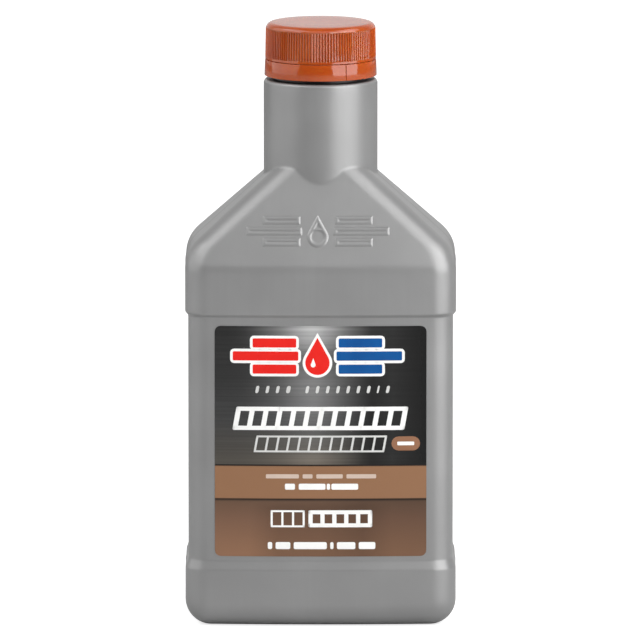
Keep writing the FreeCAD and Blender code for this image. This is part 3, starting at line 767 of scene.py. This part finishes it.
def makeFilmPrint(name):
    f = film
    material, tree, shader = newMaterial(name, tint(30, 31, 33), 0.3, Specular_IOR_Level=0.25)
    source = addNode(tree, "ShaderNodeTexCoord").outputs["Object"]
    axes = addNode(tree, "ShaderNodeSeparateXYZ", {"Vector": source}).outputs
    across = spread(tree, axes["X"], 0, 1, -f["halfWidth"] * mm, f["halfWidth"] * mm)
    upward = spread(tree, axes["Z"], 0, 1, f["bottom"] * mm, f["top"] * mm)
    share = lambda height: (height - f["bottom"]) / (f["top"] - f["bottom"])
    brushed = noise(tree, 1.0, 4.0, (9, 9, 1300))
    leftLight = colorRamp(tree, upward, [
        (share(63), tint(80, 76, 70)), (share(80), grey(62)), (share(95), grey(48)), (1.0, grey(40))])
    centreLight = colorRamp(tree, upward, [
        (share(63), tint(124, 116, 106)), (share(68), tint(112, 108, 102)), (share(76), grey(96)),
        (share(92), grey(140)), (share(104), grey(110)), (share(112), grey(190)), (1.0, grey(206))])
    rightLight = colorRamp(tree, across, [(0.6, grey(40)), (0.74, grey(18)), (0.84, grey(38)), (1.0, grey(15))])
    sheen = colorRamp(tree, across, [
        (0.0, grey(0)), (0.14, grey(0)), (0.24, grey(110)), (0.34, grey(160)), (0.45, grey(255)),
        (0.52, grey(215)), (0.62, grey(130)), (0.74, grey(0))], "B_SPLINE")
    fade = spread(tree, across, 0, 1, 0.45, 0.7)
    ground = blendColors(tree, fade, leftLight, rightLight)
    dark = blendColors(tree, sheen, ground, centreLight)
    dark = blendColors(tree, spread(tree, brushed, 0.0, 0.5), dark, blendColors(tree, 0.5, dark, grey(12)))
    lower = colorRamp(tree, upward, [
        (0.0, tint(138, 102, 78)), (share(34), tint(130, 96, 74)), (share(42), tint(116, 86, 68)),
        (share(48.6), tint(100, 76, 60)), (share(49.3), tint(34, 26, 22)), (share(49.75), tint(34, 26, 22)),
        (share(49.85), tint(142, 104, 76)), (share(62.1), tint(142, 104, 76)), (share(62.2), tint(28, 24, 22)),
        (1.0, tint(28, 24, 22))])
    edgeShade = colorRamp(tree, across, [(0.0, grey(255)), (0.5, grey(250)), (0.7, grey(222)), (1.0, grey(216))])
    isBand = maths(tree, "GREATER_THAN", axes["Z"], f["bandBottom"] * mm)
    edgeShade = blendColors(tree, isBand, edgeShade, (1, 1, 1, 1))
    lower = blendColors(tree, 1.0, lower, edgeShade, "MULTIPLY")
    beside = spread(tree, maths(tree, "ABSOLUTE", axes["X"]), 1, 0, 16 * mm, 27 * mm)
    below = spread(tree, axes["Z"], 1, 0, 46 * mm, 49 * mm)
    printShade = maths(tree, "MULTIPLY", maths(tree, "MULTIPLY", beside, below), 0.3)
    lower = blendColors(tree, printShade, lower, tint(40, 28, 22))
    isDark = maths(tree, "GREATER_THAN", axes["Z"], f["bandTop"] * mm)
    connect(tree, blendColors(tree, isDark, lower, dark), shader, "Base Color")
    grain = noise(tree, 900.0, 2.0)
    connect(tree, spread(tree, grain, 0.22, 0.26), shader, "Roughness")
    addBumps(tree, shader, (noise(tree, 60.0, 2.0), 0.08, 0.0002))
    return material


def makeInk(name, color, shade):
    material, tree, shader = newMaterial(name, color, 0.3, Specular_IOR_Level=0.25)
    clouds = noise(tree, 140.0, 3.0)
    connect(tree, blendColors(tree, spread(tree, clouds, 0, 1), color, shade), shader, "Base Color")
    connect(tree, spread(tree, clouds, 0.22, 0.26), shader, "Roughness")
    addBumps(tree, shader, (clouds, 0.04, 0.00003))
    return material


inks = {
    "white": makeInk("whiteInk", tint(246, 246, 244), tint(238, 238, 236)),
    "red": makeInk("redInk", tint(230, 36, 28), tint(222, 30, 24)),
    "blue": makeInk("blueInk", tint(4, 82, 148), tint(4, 74, 138)),
    "brown": makeInk("brownInk", tint(150, 108, 82), tint(142, 100, 75)),
    "silver": makeInk("silverInk", tint(212, 212, 210), tint(196, 196, 194)),
    "cream": makeInk("creamInk", tint(206, 186, 172), tint(198, 178, 164)),
}


def filmDepth(x, lift):
    centre = bottle["faceRadius"] - bottle["depth"] / 2
    return np.sqrt((bottle["faceRadius"] - bottle["panelDepth"] + film["glue"] + lift) ** 2 - x ** 2) - centre


def roundedStrip(lowX, highX, lowZ, highZ, radius):
    radius = min(radius, (highX - lowX) / 2, (highZ - lowZ) / 2 - 0.01)
    turn = np.radians(np.linspace(0, 90, 5))
    start = lowX + radius * (1 - np.cos(turn))
    end = highX - radius * (1 - np.cos(turn[::-1]))
    middle = np.linspace(start[-1], end[0], max(2, int((end[0] - start[-1]) / 4) + 2))[1:-1]
    x = np.concatenate([start, middle, end])
    inset = np.concatenate([radius * (1 - np.sin(turn)), np.zeros(len(middle)), radius * (1 - np.sin(turn[::-1]))])
    return x, x, lowZ + inset, highZ - inset


def leaning(strip, lean, pivot):
    lowX, highX, lowZ, highZ = strip
    return lowX + lean * (lowZ - pivot), highX + lean * (highZ - pivot), lowZ, highZ


def dropStrip(centreX, centreZ, radius, tip):
    tangentX, tangentZ = dropTangent(radius, tip)
    turn = np.radians(np.linspace(-88, 88, 33))
    x = np.sort(np.concatenate([radius * np.sin(turn), [0.0, -tangentX, tangentX]]))
    ball = np.sqrt(radius ** 2 - x ** 2)
    cone = tip - np.abs(x) * (tip - tangentZ) / tangentX
    high = np.where(np.abs(x) < tangentX, cone, ball)
    return x + centreX, x + centreX, centreZ - ball, centreZ + high


def stripPrism(strip, low, high, side):  # closed thin sheet between two lifts, bent to the panel
    lowX, highX, lowZ, highZ = strip
    count = len(lowX)
    points = []
    for lift in (high, low):
        for x, z in ((lowX, lowZ), (highX, highZ)):
            points += list(zip(x, side * filmDepth(x, lift), z))
    faces = []
    for i in range(count - 1):
        j = i + 1
        faces += [(i, j, count + j, count + i), (2 * count + i, 3 * count + i, 3 * count + j, 2 * count + j),
                  (i, 2 * count + i, 2 * count + j, j), (count + i, count + j, 3 * count + j, 3 * count + i)]
    faces += [(0, count, 3 * count, 2 * count), (count - 1, 3 * count - 1, 4 * count - 1, 2 * count - 1)]
    if side > 0:
        faces = [face[::-1] for face in faces]
    return points, faces


def wordBars(lowX, highX, lowZ, highZ, widths, gap, rounding=0.22, lean=0.0):  # one line of blocks; 0 is a space
    room = highX - lowX - gap * (len(widths) - 1)
    bars, x = [], lowX
    for width in widths:
        size = room * (width or 0.35) / sum(share or 0.35 for share in widths)
        if width:
            bar = roundedStrip(x, x + size, lowZ, highZ, (highZ - lowZ) * rounding)
            bars.append(leaning(bar, lean, (lowZ + highZ) / 2))
        x += size + gap
    return bars


def ladder(lowX, highX, lowZ, highZ, rungs, rail, rung, lean=0.0):  # two rails with leaning rungs between them
    pivot = (lowZ + highZ) / 2
    bars = [roundedStrip(lowX, highX, lowZ, lowZ + rail, rail / 3), roundedStrip(lowX, highX, highZ - rail, highZ, rail / 3)]
    for spot in np.linspace(lowX, highX - rung, rungs):
        bars.append(roundedStrip(spot, spot + rung, lowZ, highZ, rail / 3))
    return [leaning(bar, lean, pivot) for bar in bars]


def makeLabel(name, side, filmMaterial, fields):
    names = ["film"] + list(inks)
    materials = [filmMaterial] + [inks[ink] for ink in inks]
    points, faces, slots = [], [], []

    def addPrism(strip, low, high, ink):
        newPoints, newFaces = stripPrism(strip, low, high, side)
        start = len(points)
        points.extend(newPoints)
        faces.extend(tuple(start + i for i in face) for face in newFaces)
        slots.extend([names.index(ink)] * len(newFaces))

    f = film
    addPrism(roundedStrip(-f["halfWidth"], f["halfWidth"], f["bottom"], f["top"], f["corner"]), 0, f["thickness"],
             "film")
    for ink, layer, strip in fields:
        top = f["thickness"] + f["inkLift"] * layer
        addPrism(strip, f["thickness"] / 2, top, ink)
    return linkMesh(name, points, faces, materials, 20, slots)


front = {"motifX": -1.2, "motifZ": 104.2}


def frontFields():
    m, f = motif, front
    fields = []
    for grow, layer in ((m["outline"], 1), (0.0, 2)):
        for lowX, highX, lowZ, highZ in barRows(grow):
            ink = "white" if layer == 1 else ("red" if highX < 0 else "blue")
            strip = roundedStrip(lowX + f["motifX"], highX + f["motifX"], lowZ + f["motifZ"], highZ + f["motifZ"],
                                 0.5 + grow)
            fields.append((ink, layer, strip))
    dropZ = f["motifZ"] + m["dropLift"]
    fields.append(("white", 3, dropStrip(f["motifX"], dropZ, m["dropRadius"] + m["outline"],
                                         m["dropTip"] + 1.9 * m["outline"])))
    fields.append(("red", 4, dropStrip(f["motifX"], dropZ, m["dropRadius"], m["dropTip"])))
    fields.append(("white", 5, dropStrip(f["motifX"] - 1.6, dropZ - 0.8, 0.9, 2.6)))
    lines = [
        ("silver", wordBars(-24.5, 26.0, 90.0, 92.8, (1, 1, 1, 1.3, 0, 1, 1, 1, 1, 1, 1, 1, 0.6, 1), 2.7, 0.3, 0.2)),
        ("white", ladder(-32.6, 32.4, 75.9, 84.8, 13, 1.6, 1.9, 0.18)),
        ("silver", ladder(-24.8, 24.6, 67.4, 73.8, 13, 0.7, 0.8, 0.18)),
        ("cream", wordBars(-20.7, 21.0, 57.4, 59.0, (10, 0, 3, 0, 8, 0, 9), 0.5)),
        ("white", wordBars(-13.5, 14.2, 53.1, 55.4, (3, 0, 8, 1, 8), 0.5)),
        ("white", ladder(-18.9, -6.0, 38.7, 45.2, 4, 0.7, 0.8)),
        ("white", ladder(-4.6, 19.5, 38.7, 45.2, 6, 1.5, 1.6)),
        ("white", wordBars(-20.0, 20.7, 30.3, 33.0, (1.2, 0, 4, 0, 9, 0, 0.9, 0, 5, 0, 4.5), 0.4)),
    ]
    for ink, bars in lines:
        fields += [(ink, 1, bar) for bar in bars]
    fields.append(("brown", 1, roundedStrip(26.8, 37.6, 68.0, 73.4, 2.69)))
    fields.append(("white", 2, roundedStrip(29.0, 35.4, 70.0, 71.4, 0.3)))
    return fields


def backFields():
    fields = [("white", 1, bar) for bar in wordBars(-34, 8, 104.5, 109.0, (5, 4), 1.6)]
    for row in range(9):
        low = 97.5 - row * 3.4
        widths = ((5, 7, 4, 6), (7, 4, 8, 5), (4, 6, 5, 7))[row % 3]
        fields += [("silver", 1, bar) for bar in wordBars(-34, 34 - 6 * (row % 3 == 2), low, low + 1.3, widths, 1.2)]
    fields += [("white", 1, bar) for bar in wordBars(-34, 34, 55.4, 58.0, (3, 5, 4), 1.5)]
    fields.append(("white", 1, roundedStrip(-34, -6, 31.5, 45.5, 1.0)))
    fields += [("brown", 2, roundedStrip(-31.5, -8.5, 34 + row * 3.2, 35.4 + row * 3.2, 0.4)) for row in range(3)]
    fields += [("silver", 1, bar) for row in range(4)
               for bar in wordBars(0, 34, 32.2 + row * 3.5, 33.5 + row * 3.5, (4, 5, 3), 1.2)]
    return fields


frontFilm = makeLabel("frontFilm", -1, makeFilmPrint("frontPrint"), frontFields())
backFilm = makeLabel("backFilm", 1, makeFilmPrint("backPrint"), backFields())
for piece, node, slotName in ((frontFilm, "front_label", "front_print"), (backFilm, "back_label", "back_print")):
    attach(piece, "root")
    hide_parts(node)
print("labels ready")


# carried-over nodes get their finishes

for node, material in (("cap_liner", linerFoam), ("motor_oil", oilLook)):
    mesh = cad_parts[node].data
    mesh.materials.clear()
    mesh.materials.append(material)
print("liner and oil finished")


# floor, light and camera

studio = {
    "floorSize": 24.0, "floorAlbedo": 0.6, "floorGlow": (0.72, 1.0),
    "worldFront": 0.08, "worldBack": 0.4, "worldLean": -0.4, "floorMirrored": 0.03, "worldMirrored": 0.65,
    "left": {"azimuth": -84, "elevation": 18, "distance": 1.2, "width": 1.8, "height": 1.5, "power": 8.5},
    "right": {"azimuth": 53, "elevation": 14, "distance": 1.2, "width": 1.3, "height": 1.5, "power": 21.5},
    "top": {"azimuth": 0, "elevation": 47, "distance": 1.3, "width": 1.3, "height": 0.8, "power": 3.2},
    "leftHigh": {"azimuth": -74, "elevation": 50, "distance": 1.2, "width": 1.0, "height": 0.6, "power": 4},
    "rightHigh": {"azimuth": 78, "elevation": 50, "distance": 1.2, "width": 0.9, "height": 0.6, "power": 4},
    "aim": (-0.00023, 0.0, 0.1133), "elevation": 8.5, "distance": 5.0, "lens": 740.25,
}


def seenBackground(tree, behind, strength):  # white for the camera, paler grey where it mirrors what lies behind
    rays = addNode(tree, "ShaderNodeLightPath").outputs
    mirrored = maths(tree, "MAXIMUM", rays["Is Glossy Ray"], rays["Is Transmission Ray"])
    level = maths(tree, "MULTIPLY", behind, strength)
    return maths(tree, "MAXIMUM", rays["Is Camera Ray"], maths(tree, "MULTIPLY", mirrored, level))


def makeFloor():
    half = studio["floorSize"] / 2
    mesh = bpy.data.meshes.new("floor")
    mesh.from_pydata([(-half, -half, 0), (half, -half, 0), (half, half, 0), (-half, half, 0)], [], [(0, 1, 2, 3)])
    floor = bpy.data.objects.new("floor", mesh)
    bpy.context.scene.collection.objects.link(floor)
    material, tree, shader = newMaterial("paleFloor", (studio["floorAlbedo"],) * 3 + (1,), 0.9)
    place = addNode(tree, "ShaderNodeTexCoord").outputs["Object"]
    ahead = addNode(tree, "ShaderNodeSeparateXYZ", {"Vector": place}).outputs["Y"]
    away = addNode(tree, "ShaderNodeVectorMath", {0: place}, operation="LENGTH").outputs["Value"]
    seen = seenBackground(tree, spread(tree, maths(tree, "DIVIDE", ahead, away), 0, 1, 0.5, 1.0),
                          studio["floorMirrored"])
    glow = spread(tree, away, *studio["floorGlow"], 0.3, 1.2)
    shader.inputs["Emission Color"].default_value = (1, 1, 1, 1)
    connect(tree, maths(tree, "MULTIPLY", seen, glow), shader, "Emission Strength")
    mesh.materials.append(material)


def makeWorld():
    world = bpy.data.worlds.new("studio")
    bpy.context.scene.world = world
    world.use_nodes = True
    tree = world.node_tree
    tree.nodes.clear()
    direction = addNode(tree, "ShaderNodeTexCoord").outputs["Generated"]
    axes = addNode(tree, "ShaderNodeSeparateXYZ", {"Vector": direction}).outputs
    ahead = axes["Y"]
    leant = maths(tree, "ADD", ahead, maths(tree, "MULTIPLY", axes["X"], studio["worldLean"]))
    level = spread(tree, leant, studio["worldFront"], studio["worldBack"], -0.7, 0.7)
    seen = seenBackground(tree, spread(tree, ahead, 0, 1, 0.5, 1.0), studio["worldMirrored"])
    strength = blendColors(tree, seen, level, (1, 1, 1, 1))
    background = addNode(tree, "ShaderNodeBackground", {"Color": strength, "Strength": 1.0})
    output = addNode(tree, "ShaderNodeOutputWorld")
    tree.links.new(background.outputs["Background"], output.inputs["Surface"])


def aimFrom(obj, azimuth, elevation, distance, target):
    a, e = math.radians(azimuth), math.radians(elevation)
    away = Vector((math.sin(a) * math.cos(e), -math.cos(a) * math.cos(e), math.sin(e)))
    obj.location = target + away * distance
    obj.rotation_mode = "QUATERNION"
    obj.rotation_quaternion = (-away).to_track_quat("-Z", "Y")


def makeLight(name):
    s = studio[name]
    light = bpy.data.lights.new(name + "Softbox", "AREA")
    light.shape = "RECTANGLE"
    light.size, light.size_y, light.energy = s["width"], s["height"], s["power"]
    obj = bpy.data.objects.new(name + "Softbox", light)
    obj.visible_camera = False
    bpy.context.scene.collection.objects.link(obj)
    aimFrom(obj, s["azimuth"], s["elevation"], s["distance"], Vector(studio["aim"]))


makeFloor()
makeWorld()
for lightName in ("left", "right", "top", "leftHigh", "rightHigh"):
    makeLight(lightName)

cameraData = bpy.data.cameras.new("camera")
cameraData.lens, cameraData.sensor_width = studio["lens"], 36.0
cameraData.clip_start, cameraData.clip_end = 0.1, 60.0
camera = bpy.data.objects.new("camera", cameraData)
bpy.context.scene.collection.objects.link(camera)
aimFrom(camera, 0, studio["elevation"], studio["distance"], Vector(studio["aim"]))
bpy.context.scene.camera = camera
bpy.context.scene.view_settings.view_transform = "Standard"
print("studio ready")
